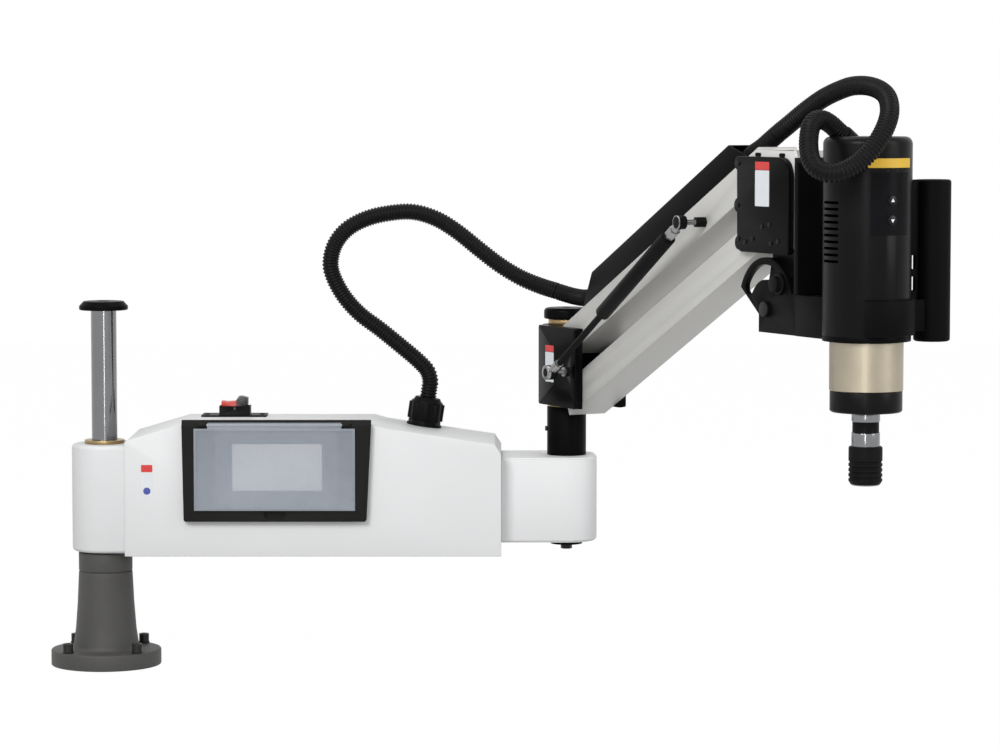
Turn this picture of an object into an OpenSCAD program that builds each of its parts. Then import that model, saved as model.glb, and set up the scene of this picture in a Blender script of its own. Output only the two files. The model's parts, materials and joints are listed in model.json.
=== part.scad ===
// Arm tapping machine: a fixed column, a swinging first arm with its control box, a
// parallelogram second arm held up by a gas spring, and a tilting servo tapping head.
// X runs from the column to the second arm's post, Z is up, and the origin is the centre
// of the base flange's underside. The second arm is drawn in its own upright plane:
// x outwards from the post, y across the arm (negative is the near side), z up.

/* [Base and column] */
// Diameter of the base flange
flange_d = 138; // [130:1:150]
// Thickness of the base flange
flange_h = 20; // [16:1:24]
// Diameter of the chrome column
column_d = 32; // [30:1:34]
// Height of the column's top end
column_top = 452; // [440:1:470]

/* [First arm] */
// Distance from the column to the second arm's post
arm_reach = 580; // [570:1:600]
// Height of the hub's underside
arm_bottom = 144.5; // [140:0.5:150]
// Diameter of the hub round the column
hub_d = 82; // [76:1:86]
// Depth of the control box, front to back
box_depth = 150; // [140:1:160]
// Wall of the control box
box_wall = 2; // [1.5:0.5:3]
// Diameter of the post's shaft
shaft_d = 30; // [28:1:31]

/* [Second arm] */
// Turn of the second arm towards the front, from the line of the first arm
arm_yaw = 63; // [50:1:75]
// Rise of the beams above level
arm_rise = 26; // [20:1:32]
// Distance between a beam's two pivots
beam_len = 480; // [460:5:500]
// Width of a beam
beam_w = 50; // [46:1:52]
// Height of a beam
beam_h = 38; // [34:1:40]
// Wall of a beam
beam_wall = 4; // [3:0.5:5]
// Upright distance between the two beams' pivots
beam_gap = 76; // [74:1:80]
// Height of the conduit cover above its beam
cover_h = 30; // [28:1:34]

/* [Head] */
// Diameter of the motor cover
motor_d = 96; // [94:1:98]
// Height of the motor cover
motor_h = 214; // [200:1:220]
// Diameter of the reduction gearbox
gear_d = 80; // [76:1:84]
// Diameter of the hand grip
grip_d = 40; // [36:1:42]
// Diameter of the tool bore in the spindle
tool_bore_d = 19; // [16:0.5:20]

/* [Conduits] */
// Outside diameter of the corrugated conduit over its ribs
conduit_d = 21.2; // [20:0.1:22]
// Bore of the corrugated conduit
conduit_bore = 13.6; // [12:0.1:14]
// Distance from rib to rib
rib_pitch = 5.7; // [5.7:0.1:8]

/* [Hidden] */
$fn = 96;
eps = 0.01;
// running and seating fit of round pieces, per side
fit = 0.05;
// clearance between pieces that pass each other
gap = 0.3;

casting_grey = [0.21, 0.21, 0.20];
arm_white = [0.90, 0.90, 0.91];
black = [0.06, 0.06, 0.065];
beam_grey = [0.78, 0.79, 0.77];
bronze = [0.72, 0.53, 0.28];
chrome = [0.80, 0.81, 0.83];

// base
flange_r = flange_d / 2;
column_r = column_d / 2;
cone_top = 119;
collar_top = 143;
column_foot = 24;
screw_pcd = 122;
screw_head_r = 6.3;

// first arm
hub_r = hub_d / 2;
hub_top = 279.5;
bush_r = 20;
box_left = 32;
box_right = 498;
box_bottom = 145.5;
box_top = 309.5;
box_half = box_depth / 2;
slope_start = 353;
slope_end = 490;
slope_drop = 20.5;
tail_half = 50;
tail_bottom = 159.5;
tail_top = 265.5;
tail_end = arm_reach + 37.5;
shaft_r = shaft_d / 2;
sleeve_r = 24.5;
sleeve_top = 326;

// control screen, on the box's front
panel_back = -box_half;
panel_front = panel_back - 10;
window = [121, 316, 207, 305];
lid_x = [119.3, 317.7];
lid_z = [204, 305.5];
hinge_y = panel_front + 1;
hinge_z = 309.5;

// switch and conduit gland, on the box's top
switch_x = 160.5;
switch_y = 50;
rocker_z = 319;
gland_x = 400;
gland_y = 40;
slope_angle = atan(slope_drop / (slope_end - slope_start));
gland_z = box_top - 4.5 - (gland_x - slope_start) * tan(slope_angle);
gland_h = 36;

// second arm, in its own plane
pivot_x = 62;
low_pivot_z = 345;
high_pivot_z = low_pivot_z + beam_gap;
yoke_bottom = 330;
yoke_top = 429;
yoke_left = -8;
yoke_right = 89;
cheek_in = beam_w / 2 + 0.4;
cheek_out = 31;
pin_r = 8;
beam_end = 18;
head_x = pivot_x + beam_len * cos(arm_rise);
head_low_z = low_pivot_z + beam_len * sin(arm_rise);
head_high_z = head_low_z + beam_gap;

// gas spring: its two balls in the arm's plane, and the distance between them
spring_y = -56;
spring_low = [66, 375];
spring_high = [383, 569];
spring_v = spring_high - spring_low;
spring_len = norm(spring_v);
spring_angle = atan2(spring_v[1], spring_v[0]);
ball_r = 4.5;
ball_room = 7;
rod_r = 4;
piston_r = 7;

// head
side_in = beam_w / 2 + 0.5;
side_out = side_in + 3;
shell_out = 36;
plate_x = [596, 604];
tilt_x = 523;
tilt_z = 476;
clamp_r = 41.5;
slot_r = [33, 50];
fork_y = [22, 28];
fork_arc_r = 58;
motor_x = 687;
motor_r = motor_d / 2;
motor_bottom = 456;
motor_top = motor_bottom + motor_h;
mount_z = [450, 495.5];
gear_r = gear_d / 2;
gear_z = [396, 450];
ring_z = [373, gear_z[0]];
servo_top = motor_bottom + 116;
entry_r = 11.5;
spindle_r = 15.5;
collar_z = [293, 327];
grip_y = 84;
grip_r = grip_d / 2;
// the conduit enters the motor cover through its top, on a slant
entry = [671, -22, 671];
entry_tilt = 55;
entry_turn = 8.5;
button_z = [602, 581];
button_r = 5.3;

// routes of the conduit, point by point; only the first one is in the machine's own frame,
// and the others are in the second arm's
lower_route = [[405.4, 40, 334], [407, 40, 345], [408, 40, 355], [404, 40, 368],
    [392, 40, 381], [372, 40, 398], [345, 40, 420], [320, 39, 439], [301, 37, 460],
    [288, 34, 483], [283, 32, 503], [288, 29, 526], [302, 26, 545], [323, 24, 558],
    [350, 21, 566], [385, 18, 569], [415, 15, 561], [442, 11, 545], [471, 7, 522],
    [496, 4, 503], [522, 0, 487.5], [546.5, -8, 477.5], [568, -20, 471.4]];
lower_end_route = [[13.8, -19.3, 470.9], [31.5, -8.2, 466], [50, -2, 464.5], [68, 0, 467],
    [85, 0, 472], [99, 0, 476.8], [112.7, 0, 483.5], [126.1, 0, 490.1]];
upper_start_route = [[432.8, 0, 639.7], [451, 0, 648.6], [470, 0, 656], [488, 0, 664.5],
    [504, 0, 672]];
upper_route = [[505.2, 0, 672.6], [522, 1, 680.6], [541, 5, 692], [560, 8, 702],
    [583, 10, 711.5], [610, 11, 719], [640, 10, 724], [672, 9, 724], [700, 7, 719],
    [722, 2, 710], [739, -7, 695], [748, -19, 678], [750, -33, 660], [747, -48, 645],
    [741, -63, 635], [732, -76, 632], [721, -84, 636], [711, -86.5, 645],
    [702, -84, 657], [694, -79, 670], [687, -72, 681], [681, -62, 687],
    [676, -50, 687.5], [673.5, -39, 683], [672.2, -30.1, 676.7], [671, -22.2, 671.2]];

// points along an arc, given in degrees
function arc(c, r, a0, a1, n = 8) =
    [for (i = [0:n]) c + r * [cos(a0 + (a1 - a0) * i / n), sin(a0 + (a1 - a0) * i / n)]];

// the second arm's plane, and the frames of its tilted beams
module on_arm() {
    translate([arm_reach, 0, 0]) rotate([0, 0, -arm_yaw]) children();
}

module along_beam(z) {
    on_arm() translate([pivot_x, 0, z]) rotate([0, -arm_rise, 0]) children();
}

// a round piece that lies across the arm
module cross_pin(x, z, r, y0, y1, fn = 64) {
    translate([x, y0, z]) rotate([-90, 0, 0]) cylinder(r = r, h = y1 - y0, $fn = fn);
}

// a flat piece drawn in the arm's upright plane
module upright(y0, y1) {
    translate([0, y1, 0]) rotate([90, 0, 0]) linear_extrude(y1 - y0) children();
}

// a ring with a bore
module tube(r, bore, z0, z1) {
    translate([0, 0, z0]) difference() {
        cylinder(r = r, h = z1 - z0);
        translate([0, 0, -1]) cylinder(r = bore, h = z1 - z0 + 2);
    }
}

// a turned piece with rounded rims, set out by its radius and heights
module turned(r, z0, z1, low, high) {
    rotate_extrude() polygon(concat([[0, z0]], arc([r - low, z0 + low], low, -90, 0, 5),
        arc([r - high, z1 - high], high, 0, 90, 5), [[0, z1]]));
}

// ---- base and column ----

module base_casting() {
    color(casting_grey) difference() {
        rotate_extrude() polygon(concat(
            [[0, 0], [flange_r - 1, 0], [flange_r, 1]],
            arc([flange_r - 2, flange_h - 2], 2, 0, 90, 4),
            arc([47, flange_h + 6], 6, 270, 190, 6),
            [[38, 46], [35.4, 80], [33.6, cone_top - 1], [32.6, cone_top], [0, cone_top]]));
        translate([0, 0, column_foot]) cylinder(r = column_r + fit, h = cone_top);
        for (a = [45:90:315]) rotate([0, 0, a]) translate([screw_pcd / 2, 0, 3])
            cylinder(r = 4 + fit, h = flange_h, $fn = 48);
    }
}

module base_screws() {
    head_z = flange_h + 2;
    color(casting_grey * 0.8) for (a = [45:90:315]) rotate([0, 0, a])
        translate([screw_pcd / 2, 0, 0]) difference() {
            union() {
                translate([0, 0, 4]) cylinder(r = 4, h = 20, $fn = 48);
                translate([0, 0, flange_h]) cylinder(r = 7, h = 2, $fn = 48);
                translate([0, 0, head_z]) cylinder(r = screw_head_r, h = 10, $fn = 48);
            }
            translate([0, 0, head_z + 4]) cylinder(r = 3.6, h = 7, $fn = 6);
        }
}

module support_collar() {
    color(casting_grey) difference() {
        rotate_extrude() polygon([[column_r + fit, cone_top], [32.6, cone_top],
            [33.6, cone_top + 1], [33.6, collar_top - 1], [32.6, collar_top],
            [column_r + fit, collar_top]]);
    }
}

module main_column() {
    color(chrome) rotate_extrude() polygon([[0, column_foot], [column_r - 1, column_foot],
        [column_r, column_foot + 1], [column_r, column_top - 1],
        [column_r - 1, column_top], [0, column_top]]);
}

module column_cap() {
    rim_z = column_top - 5;
    color(black) difference() {
        rotate_extrude() polygon([[0, rim_z], [29.5, rim_z], [30.5, rim_z + 1],
            [30.5, rim_z + 5], [25, rim_z + 11], [0, rim_z + 11]]);
        translate([0, 0, rim_z - 1]) cylinder(r = column_r + fit, h = column_top - rim_z + 1);
        cylinder(r = 4.2, h = column_top + 20, $fn = 48);
        translate([0, 0, column_top + 2]) cylinder(r1 = 4.2, r2 = 8, h = 4 + eps, $fn = 48);
    }
}

// ---- first arm ----

// the hub's upright section, used turned for its round end and drawn out for its flank
hub_edge = 5;
hub_section = concat([[0, arm_bottom]],
    arc([hub_r - hub_edge, arm_bottom + hub_edge], hub_edge, -90, 0, 5),
    arc([hub_r - hub_edge, hub_top - hub_edge], hub_edge, 0, 90, 5), [[0, hub_top]]);

module tail_outline(half, end, corner) {
    polygon(concat([[box_right, -half]],
        arc([end - corner, -half + corner], corner, -90, 0, 12),
        arc([end - corner, half - corner], corner, 0, 90, 12), [[box_right, half]]));
}

module arm_frame() {
    spine_z = [166, 206];
    color(arm_white) difference() {
        union() {
            difference() {
                rotate_extrude() polygon(hub_section);
                translate([box_left, -hub_r, arm_bottom - 1]) cube([hub_r, 2 * hub_r, hub_top]);
            }
            rotate([90, 0, 90]) linear_extrude(box_left) {
                polygon(hub_section);
                mirror([1, 0]) polygon(hub_section);
            }
            translate([20, -24, spine_z[0]])
                cube([box_right - 10, 48, spine_z[1] - spine_z[0]]);
            translate([0, 0, tail_bottom + 2]) linear_extrude(tail_top - tail_bottom - 4)
                tail_outline(tail_half, tail_end, 36);
            translate([0, 0, tail_bottom]) linear_extrude(tail_top - tail_bottom)
                tail_outline(tail_half - 2, tail_end - 2, 34);
        }
        translate([0, 0, arm_bottom - 1]) cylinder(r = column_r + 1, h = hub_top);
        translate([0, 0, hub_top - 24]) cylinder(r = bush_r + fit, h = 25);
        translate([0, 0, arm_bottom - 1]) cylinder(r = bush_r + fit, h = 25);
        translate([arm_reach, 0, 0]) cylinder(r = shaft_r + fit, h = tail_top + 1);
        // the spine is a hollow section between the hub and the tail
        translate([hub_r + 4, -20, spine_z[0] + 4])
            cube([box_right - hub_r - 8, 40, spine_z[1] - spine_z[0] - 8]);
    }
}

// outline of the control box seen from the front, drawn in by t
function box_outline(t) = [[box_left + t, box_bottom + t], [box_left + t, 286 - t * 0.7],
    [36 + t * 0.7, 290 - t * 0.7], [98, box_top - 1 - t], [102, box_top - t],
    [slope_start - 16, box_top - t], [slope_start, box_top - 4.5 - t],
    [slope_end - t * 0.5, box_top - 25 - t], [box_right - t, 272 - t * 0.5],
    [box_right - t, box_bottom + t]];

module arm_box() {
    inside = box_half - box_wall;
    color(arm_white) difference() {
        translate([0, box_half, 0]) rotate([90, 0, 0]) linear_extrude(box_depth)
            polygon(box_outline(0));
        translate([0, box_half + 1, 0]) rotate([90, 0, 0])
            linear_extrude(box_half + 1 + inside) polygon(box_outline(box_wall));
        // doorways for the arm's spine, in the two end walls
        translate([box_left - 1, -25, 165]) cube([box_right - box_left + 2, 50, 42]);
        // seats of the screen, the switch and the gland
        translate([149.5, -box_half - 1, 214.5]) cube([142, 10, 87]);
        translate([switch_x - 18, switch_y - 11, box_top - 5]) cube([36, 22, 10]);
        translate([gland_x, gland_y, gland_z]) rotate([0, slope_angle, 0])
            translate([0, 0, -12]) cylinder(r = 12 + gap, h = 24);
    }
}

module rear_panel() {
    color(arm_white) {
        difference() {
            translate([0, box_half, 0]) rotate([90, 0, 0]) linear_extrude(box_wall)
                polygon(box_outline(box_wall));
            translate([70, box_half - 5, 185]) rotate([-90, 0, 0]) cylinder(r = 8, h = 10);
            // louvres for cooling
            for (i = [0:7]) translate([230, box_half - 4, 180 + i * 10]) cube([120, 8, 4]);
        }
        // gland of the mains lead
        translate([70, box_half - 6, 185]) rotate([-90, 0, 0]) difference() {
            union() {
                cylinder(r = 8 - fit, h = 12);
                translate([0, 0, 6]) cylinder(r = 13, h = 4);
                translate([0, 0, 10]) cylinder(r = 11, h = 9, $fn = 8);
                translate([0, 0, 19]) cylinder(r1 = 9, r2 = 7, h = 4);
            }
            translate([0, 0, -1]) cylinder(r = 4.5, h = 30);
        }
    }
}

module column_bushes() {
    color(bronze) {
        tube(bush_r, column_r + fit, hub_top - 24, hub_top);
        tube(25, column_r + fit, hub_top, hub_top + 4.5);
        tube(bush_r, column_r + fit, arm_bottom, arm_bottom + 24);
        tube(25, column_r + fit, collar_top + fit, arm_bottom);
    }
}

// ---- control screen ----

module front_plate(y0, y1, outline) {
    translate([0, y1, 0]) rotate([90, 0, 0]) linear_extrude(y1 - y0) polygon(outline);
}

module front_block(x, y, z) {
    translate([x[0], y[0], z[0]]) cube([x[1] - x[0], y[1] - y[0], z[1] - z[0]]);
}

module screen_frame() {
    color(black) difference() {
        union() {
            front_plate(panel_front, panel_back, [[106, 192], [108, 190], [329.5, 190],
                [331.5, 192], [337.5, 309.5], [104, 309.5]]);
            // sloping top edge
            translate([104, 0, 0]) rotate([90, 0, 90]) linear_extrude(233.5)
                polygon([[panel_front, 309], [panel_front + 6, 315.5],
                    [panel_back, 315.5], [panel_back, 309]]);
            // end knuckles of the lid's hinge
            for (x = [125, 302]) translate([x, hinge_y, hinge_z]) rotate([0, 90, 0])
                cylinder(r = 3.2, h = 10, $fn = 48);
        }
        front_block([window[0], window[1]], [panel_front - 1, panel_back - 3],
            [window[2], window[3]]);
        front_block([149.5, 291.5], [panel_back - 4, panel_back + 1], [214.5, 301.5]);
        // finger notch under the lid, and room for the lid's hinge
        front_plate(panel_front - 1, panel_back - 3, concat(arc([212, 200], 7, 180, 270),
            arc([225.5, 200], 7, 270, 360), [[232.5, 208], [205, 208]]));
        front_block([135.5, 301.5], [panel_front - 1, hinge_y + 4], [window[3] - 1, 330]);
        translate([125, hinge_y, hinge_z]) rotate([0, 90, 0])
            cylinder(r = 1.5 + fit, h = 188, $fn = 32);
    }
}

module cover_hinge_pin() {
    color(chrome) translate([125, hinge_y, hinge_z]) rotate([0, 90, 0])
        cylinder(r = 1.5, h = 187, $fn = 32);
}

module hmi_panel() {
    lip = [panel_back - 6.5, panel_back - 3];
    color([0.62, 0.66, 0.68]) difference() {
        union() {
            front_block([145, 296], lip, [210, 304.5]);
            front_block([150, 291], [lip[1] - eps, panel_back + 28], [215, 301]);
        }
        front_block([166, 277], [lip[0] - 1, lip[0] + 1.5], [228, 286]);
    }
}

module hmi_screen() {
    color([0.78, 0.81, 0.82])
        front_block([166.2, 276.8], [panel_back - 6.2, panel_back - 5], [228.2, 285.8]);
}

module screen_cover() {
    sheet_y = [panel_front - 2.6, panel_front - 0.4];
    color([0.66, 0.75, 0.83, 0.55]) difference() {
        union() {
            front_block(lid_x, sheet_y, lid_z);
            // raised rim of the lid
            for (x = [lid_x[0], lid_x[1] - 3])
                front_block([x, x + 3], [sheet_y[0] - 1.2, sheet_y[1]], lid_z);
            for (z = [lid_z[0], lid_z[1] - 3])
                front_block(lid_x, [sheet_y[0] - 1.2, sheet_y[1]], [z, z + 3]);
            // barrel and web of the hinge
            front_block([136, 301], [sheet_y[0], hinge_y], [lid_z[1] - eps, hinge_z]);
            translate([136, hinge_y, hinge_z]) rotate([0, 90, 0])
                cylinder(r = 3.2, h = 165, $fn = 48);
        }
        translate([130, hinge_y, hinge_z]) rotate([0, 90, 0])
            cylinder(r = 1.5 + fit, h = 180, $fn = 32);
    }
}

// ---- switch and conduit gland ----

module switch_housing() {
    color(black) difference() {
        union() {
            translate([119, 30, box_top]) cube([82, 40, 2]);
            translate([switch_x - 19.5, switch_y - 12, box_top + 2 - eps])
                cube([39, 24, 11]);
            translate([switch_x - 17.5, switch_y - 10.5, 290]) cube([35, 21, 20]);
        }
        // well of the rocker
        translate([switch_x - 18, switch_y - 9.5, 314]) cube([36, 19, 12]);
        for (x = [125, 195]) translate([x, switch_y, box_top - 1])
            cylinder(r = 1.8, h = 4, $fn = 24);
        translate([switch_x, switch_y - 20, rocker_z]) rotate([-90, 0, 0])
            cylinder(r = 2 + fit, h = 40, $fn = 32);
    }
}

module power_rocker() {
    color([0.75, 0.10, 0.08]) translate([switch_x, 0, rocker_z]) {
        upright(switch_y - 9, switch_y + 9) polygon([[-16.5, 3], [-17, 9.6], [-9, 8.6],
            [1, 9.4], [4.5, 15.2], [9, 15.6], [16.5, 13.6], [16.5, 5], [6, -3], [-6, -3]]);
        translate([0, switch_y - 11.9, 0]) rotate([-90, 0, 0])
            cylinder(r = 2, h = 23.8, $fn = 32);
    }
}

module at_gland() {
    translate([gland_x, gland_y, gland_z]) rotate([0, slope_angle, 0]) children();
}

module gland_base() {
    color(black) at_gland() difference() {
        union() {
            translate([0, 0, -10]) cylinder(r = 12, h = 16);
            cylinder(r = 22, h = 3);
            translate([0, 0, 3]) cylinder(r = 20.5, h = 4, $fn = 8);
            translate([0, 0, 7 - eps]) cylinder(r = 12, h = 8);
        }
        translate([0, 0, -11]) cylinder(r = 9, h = 40);
    }
}

module gland_nut() {
    color(black) at_gland() difference() {
        union() {
            translate([0, 0, 7]) cylinder(r = 20, h = 24);
            for (a = [0:45:315]) rotate([0, 0, a]) translate([16.5, 0, 8])
                cylinder(r = 6, h = 21, $fn = 32);
            translate([0, 0, 31]) cylinder(r1 = 18.5, r2 = 15.5, h = gland_h - 31);
        }
        translate([0, 0, 6]) cylinder(r = 12 + fit, h = 10);
        translate([0, 0, 15]) cylinder(r = conduit_bore / 2, h = 30);
    }
}

module servo_driver() {
    color([0.25, 0.26, 0.28]) {
        translate([232, 30, 168]) cube([116, box_half - box_wall - 30, 118]);
        for (i = [0:10]) translate([238 + i * 10, 25.5, 176]) cube([2.5, 5, 100]);
    }
}

// ---- post of the second arm ----

module post_shaft() {
    color(chrome) difference() {
        translate([arm_reach, 0, tail_bottom]) cylinder(r = shaft_r, h = 446 - tail_bottom);
        translate([arm_reach, 0, tail_bottom - 1]) cylinder(r = 4 + fit, h = 30, $fn = 48);
    }
}

module post_sleeve() {
    color(black) translate([arm_reach, 0, 0]) difference() {
        tube(sleeve_r, shaft_r + fit, tail_top, sleeve_top);
        // tapped hole of the set screw
        translate([-sleeve_r - 1, 0, 298]) rotate([0, 90, 0])
            cylinder(r = 3, h = 12, $fn = 32);
    }
}

module post_disc() {
    color(black) translate([arm_reach, 0, 0])
        tube(20, 4 + gap, tail_bottom - 6.5, tail_bottom);
}

module post_bolt() {
    color(casting_grey) translate([arm_reach, 0, 0]) {
        translate([0, 0, 146.5]) cylinder(r = 7.2, h = 6.5, $fn = 6);
        translate([0, 0, 153 - eps]) cylinder(r = 4, h = 28, $fn = 48);
    }
}

module post_cap() {
    color(black) translate([arm_reach, 0, 0]) difference() {
        turned(28.5, 436.2, 450, 2, 5);
        translate([0, 0, 430]) cylinder(r = shaft_r + fit, h = 16);
        translate([0, 0, 446]) cylinder(r = 5, h = 10, $fn = 48);
    }
}

// ---- yoke ----

module yoke_block() {
    color(black) on_arm() difference() {
        union() {
            translate([0, 0, yoke_bottom]) cylinder(r = 30, h = yoke_top - yoke_bottom);
            upright(-cheek_out, cheek_out) polygon([[yoke_left, yoke_bottom],
                [yoke_right, yoke_bottom], [yoke_right, yoke_top], [yoke_left, yoke_top]]);
        }
        // slot for the beams
        translate([35, -cheek_in, yoke_bottom - 1])
            cube([yoke_right, 2 * cheek_in, yoke_top]);
        translate([0, 0, yoke_bottom - 1]) cylinder(r = shaft_r + 1, h = 200);
        translate([0, 0, yoke_bottom - 1]) cylinder(r = 19 + fit, h = 26);
        translate([0, 0, yoke_top - 25]) cylinder(r = 19 + fit, h = 26);
        for (z = [low_pivot_z, high_pivot_z])
            cross_pin(pivot_x, z, pin_r + fit, -cheek_out - 1, cheek_out + 1);
        cross_pin(spring_low[0], spring_low[1], 4 + fit, -cheek_out - 1, -cheek_in + 1);
    }
}

module yoke_covers() {
    color(black) on_arm() for (y = [[-shell_out, -cheek_out], [cheek_out, shell_out]])
        difference() {
            union() {
                upright(y[0], y[1]) offset_box([yoke_left, yoke_bottom],
                    [yoke_right, yoke_top], 3);
            }
            if (y[0] < 0)
                cross_pin(spring_low[0], spring_low[1], 4 + fit, y[0] - 1, y[1] + 1);
        }
}

// a rectangle with rounded corners, by its low and high corners
module offset_box(low, high, r) {
    polygon(concat(arc([low[0] + r, low[1] + r], r, 180, 270, 5),
        arc([high[0] - r, low[1] + r], r, 270, 360, 5),
        arc([high[0] - r, high[1] - r], r, 0, 90, 5),
        arc([low[0] + r, high[1] - r], r, 90, 180, 5)));
}

module yoke_bushes() {
    color(bronze) on_arm() {
        tube(19, shaft_r + fit, yoke_bottom, yoke_bottom + 25);
        tube(23, shaft_r + fit, sleeve_top + fit, yoke_bottom);
        tube(19, shaft_r + fit, yoke_top - 25, yoke_top);
        tube(23, shaft_r + fit, yoke_top, 436);
    }
}

module yoke_pins() {
    color(chrome) on_arm() for (z = [low_pivot_z, high_pivot_z])
        cross_pin(pivot_x, z, pin_r, -cheek_out, cheek_out);
}

// a ball on a stud with a hexagon nut, reaching out from a face at y0 to the ball at y1
module ball_stud(x, z, y0, y1, root, nut) {
    cross_pin(x, z, 4, y0 - eps, y0 + root);
    cross_pin(x, z, 6.5, y0 - nut, y0, 6);
    cross_pin(x, z, 3, y1, y0 - nut + eps, 32);
    translate([x, y1, z]) sphere(r = ball_r, $fn = 32);
}

module gas_stud_lower() {
    color(chrome) on_arm()
        ball_stud(spring_low[0], spring_low[1], -shell_out, spring_y, 9, 4);
}

// ---- beams ----

module beam() {
    far = beam_len + beam_end;
    difference() {
        union() {
            difference() {
                translate([-beam_end, -beam_w / 2, -beam_h / 2])
                    cube([far + beam_end, beam_w, beam_h]);
                translate([-beam_end - 1, -beam_w / 2 + beam_wall, -beam_h / 2 + beam_wall])
                    cube([far + beam_end + 2, beam_w - 2 * beam_wall,
                        beam_h - 2 * beam_wall]);
            }
            for (x = [0, beam_len])
                cross_pin(x, 0, 13, -beam_w / 2 + 1, beam_w / 2 - 1);
        }
        for (x = [0, beam_len])
            cross_pin(x, 0, pin_r + fit, -beam_w / 2 - 1, beam_w / 2 + 1);
    }
}

module upper_beam() {
    spring_x = (spring_high[0] - pivot_x) * cos(arm_rise)
        + (spring_high[1] - high_pivot_z) * sin(arm_rise);
    spring_z = (spring_high[1] - high_pivot_z) * cos(arm_rise)
        - (spring_high[0] - pivot_x) * sin(arm_rise);
    color(beam_grey) along_beam(high_pivot_z) difference() {
        beam();
        cross_pin(spring_x, spring_z, 4 + fit, -beam_w / 2 - 1, -beam_w / 2 + beam_wall + 1);
    }
}

module lower_beam() {
    color(beam_grey) along_beam(low_pivot_z) beam();
}

module conduit_cover() {
    roof = beam_h / 2 + cover_h;
    wall = 2;
    seat = beam_h / 2;
    color(black) along_beam(high_pivot_z) {
        difference() {
            upright(-beam_w / 2, beam_w / 2) polygon([[39, seat], [76, roof - 2],
                [79, roof], [440, roof], [472, seat]]);
            upright(-beam_w / 2 + wall, beam_w / 2 - wall) polygon([[20, seat - 1],
                [20, roof - wall], [500, roof - wall], [500, seat - 1]]);
        }
        // webs with holes that hold the conduit
        for (x = [88, 424]) difference() {
            translate([x, -beam_w / 2 + 1, seat]) cube([5, beam_w - 2, cover_h - 1]);
            translate([x - 1, 0, seat + 15]) rotate([0, 90, 0])
                cylinder(r = conduit_bore / 2, h = 8);
        }
    }
}

module gas_stud_upper() {
    color(chrome) on_arm()
        ball_stud(spring_high[0], spring_high[1], -beam_w / 2, spring_y, 3, 12);
}

// ---- gas spring ----

module along_spring() {
    on_arm() translate([spring_low[0], spring_y, spring_low[1]])
        rotate([0, -spring_angle, 0]) children();
}

// a socket that closes over a ball from the near side
module ball_socket(x, r, room) {
    translate([x, 0, 0]) rotate([-90, 0, 0]) difference() {
        translate([0, 0, -room - 2]) cylinder(r = r, h = room + 6, $fn = 48);
        translate([0, 0, -room]) cylinder(r = room, h = room + 6, $fn = 48);
    }
}

module gas_cylinder() {
    mouth = 153;
    tail = 337;
    room = ball_r + gap;
    color(black) along_spring() {
        translate([mouth, 0, 0]) rotate([0, 90, 0]) difference() {
            cylinder(r = 9, h = tail - mouth);
            translate([0, 0, -1]) cylinder(r = rod_r + fit, h = 20, $fn = 48);
            translate([0, 0, 10]) cylinder(r = piston_r + fit, h = tail - mouth - 16);
        }
        translate([tail - eps, 0, 0]) rotate([0, 90, 0])
            cylinder(r = 5, h = spring_len - tail - room - 1, $fn = 48);
        translate([tail + 3, 0, 0]) rotate([0, 90, 0])
            cylinder(r = 7, h = 15, $fn = 6);
        ball_socket(spring_len, 8, room);
    }
}

module gas_rod() {
    color(chrome) along_spring() {
        translate([ball_room + 1, 0, 0]) rotate([0, 90, 0]) {
            cylinder(r = rod_r, h = 225, $fn = 48);
            cylinder(r = 6, h = 16, $fn = 48);
        }
        translate([228, 0, 0]) rotate([0, 90, 0]) cylinder(r = piston_r, h = 10);
        ball_socket(0, ball_room + 2, ball_room);
    }
}

// ---- head bracket ----

module head_frame() {
    core_z = [541, 645];
    color(black) on_arm() difference() {
        union() {
            upright(-side_in, side_in) polygon([[530, core_z[0]], [plate_x[0], core_z[0]],
                [plate_x[0], core_z[1]], [545, core_z[1]], [530, 630]]);
            upright(-shell_out, shell_out) polygon([[plate_x[0] - eps, 496.5],
                [plate_x[1], 496.5], [plate_x[1], 640], [plate_x[0] - eps, 646]]);
            // tongue that reaches down to the tilt pivot
            upright(-20, 20) polygon([[508, tilt_z], [527, core_z[0] + eps],
                [plate_x[0], core_z[0] + eps], [plate_x[0], 500], [575, 500],
                [534, 464]]);
            cross_pin(tilt_x, tilt_z, 16, -20, 20);
        }
        cross_pin(tilt_x, tilt_z, 6 + fit, -21, 21);
        cross_pin(tilt_x + clamp_r * cos(45), tilt_z + clamp_r * sin(45), 6 + fit, -21, 0);
    }
}

module head_side_plates() {
    color(beam_grey) on_arm() for (y = [[-side_out, -side_in], [side_in, side_out]])
        difference() {
            upright(y[0], y[1]) polygon([[472, 548], [472, 640], [503, 653], [583, 653],
                [plate_x[0] - gap, 626], [plate_x[0] - gap, 545]]);
            for (z = [head_low_z, head_high_z])
                cross_pin(head_x, z, pin_r + fit, y[0] - 1, y[1] + 1);
        }
}

module head_cover_outline() {
    polygon(concat([[474, 545]], arc([484, 549], 10, 220, 270, 3),
        arc([580, 543], 4, 270, 360, 3), arc([562, 624], 22, 0, 90, 8),
        arc([478, 640], 6, 90, 150, 3)));
    for (p = [[476, 638], [475, 591], [477, 549]]) translate(p) circle(r = 8, $fn = 32);
}

module head_covers() {
    color(black) on_arm() for (y = [[-shell_out, -side_out], [side_out, shell_out]])
        upright(y[0], y[1]) head_cover_outline();
}

module head_pins() {
    color(chrome) on_arm() {
        cross_pin(head_x, head_high_z, pin_r, -side_out, side_out);
        cross_pin(head_x, head_low_z, pin_r - 0.35, -side_in - 0.2, side_in + 0.2);
        for (y = [[-side_out, -side_in - 0.2], [side_in + 0.2, side_out]])
            cross_pin(head_x, head_low_z, pin_r, y[0], y[1]);
    }
}

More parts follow.
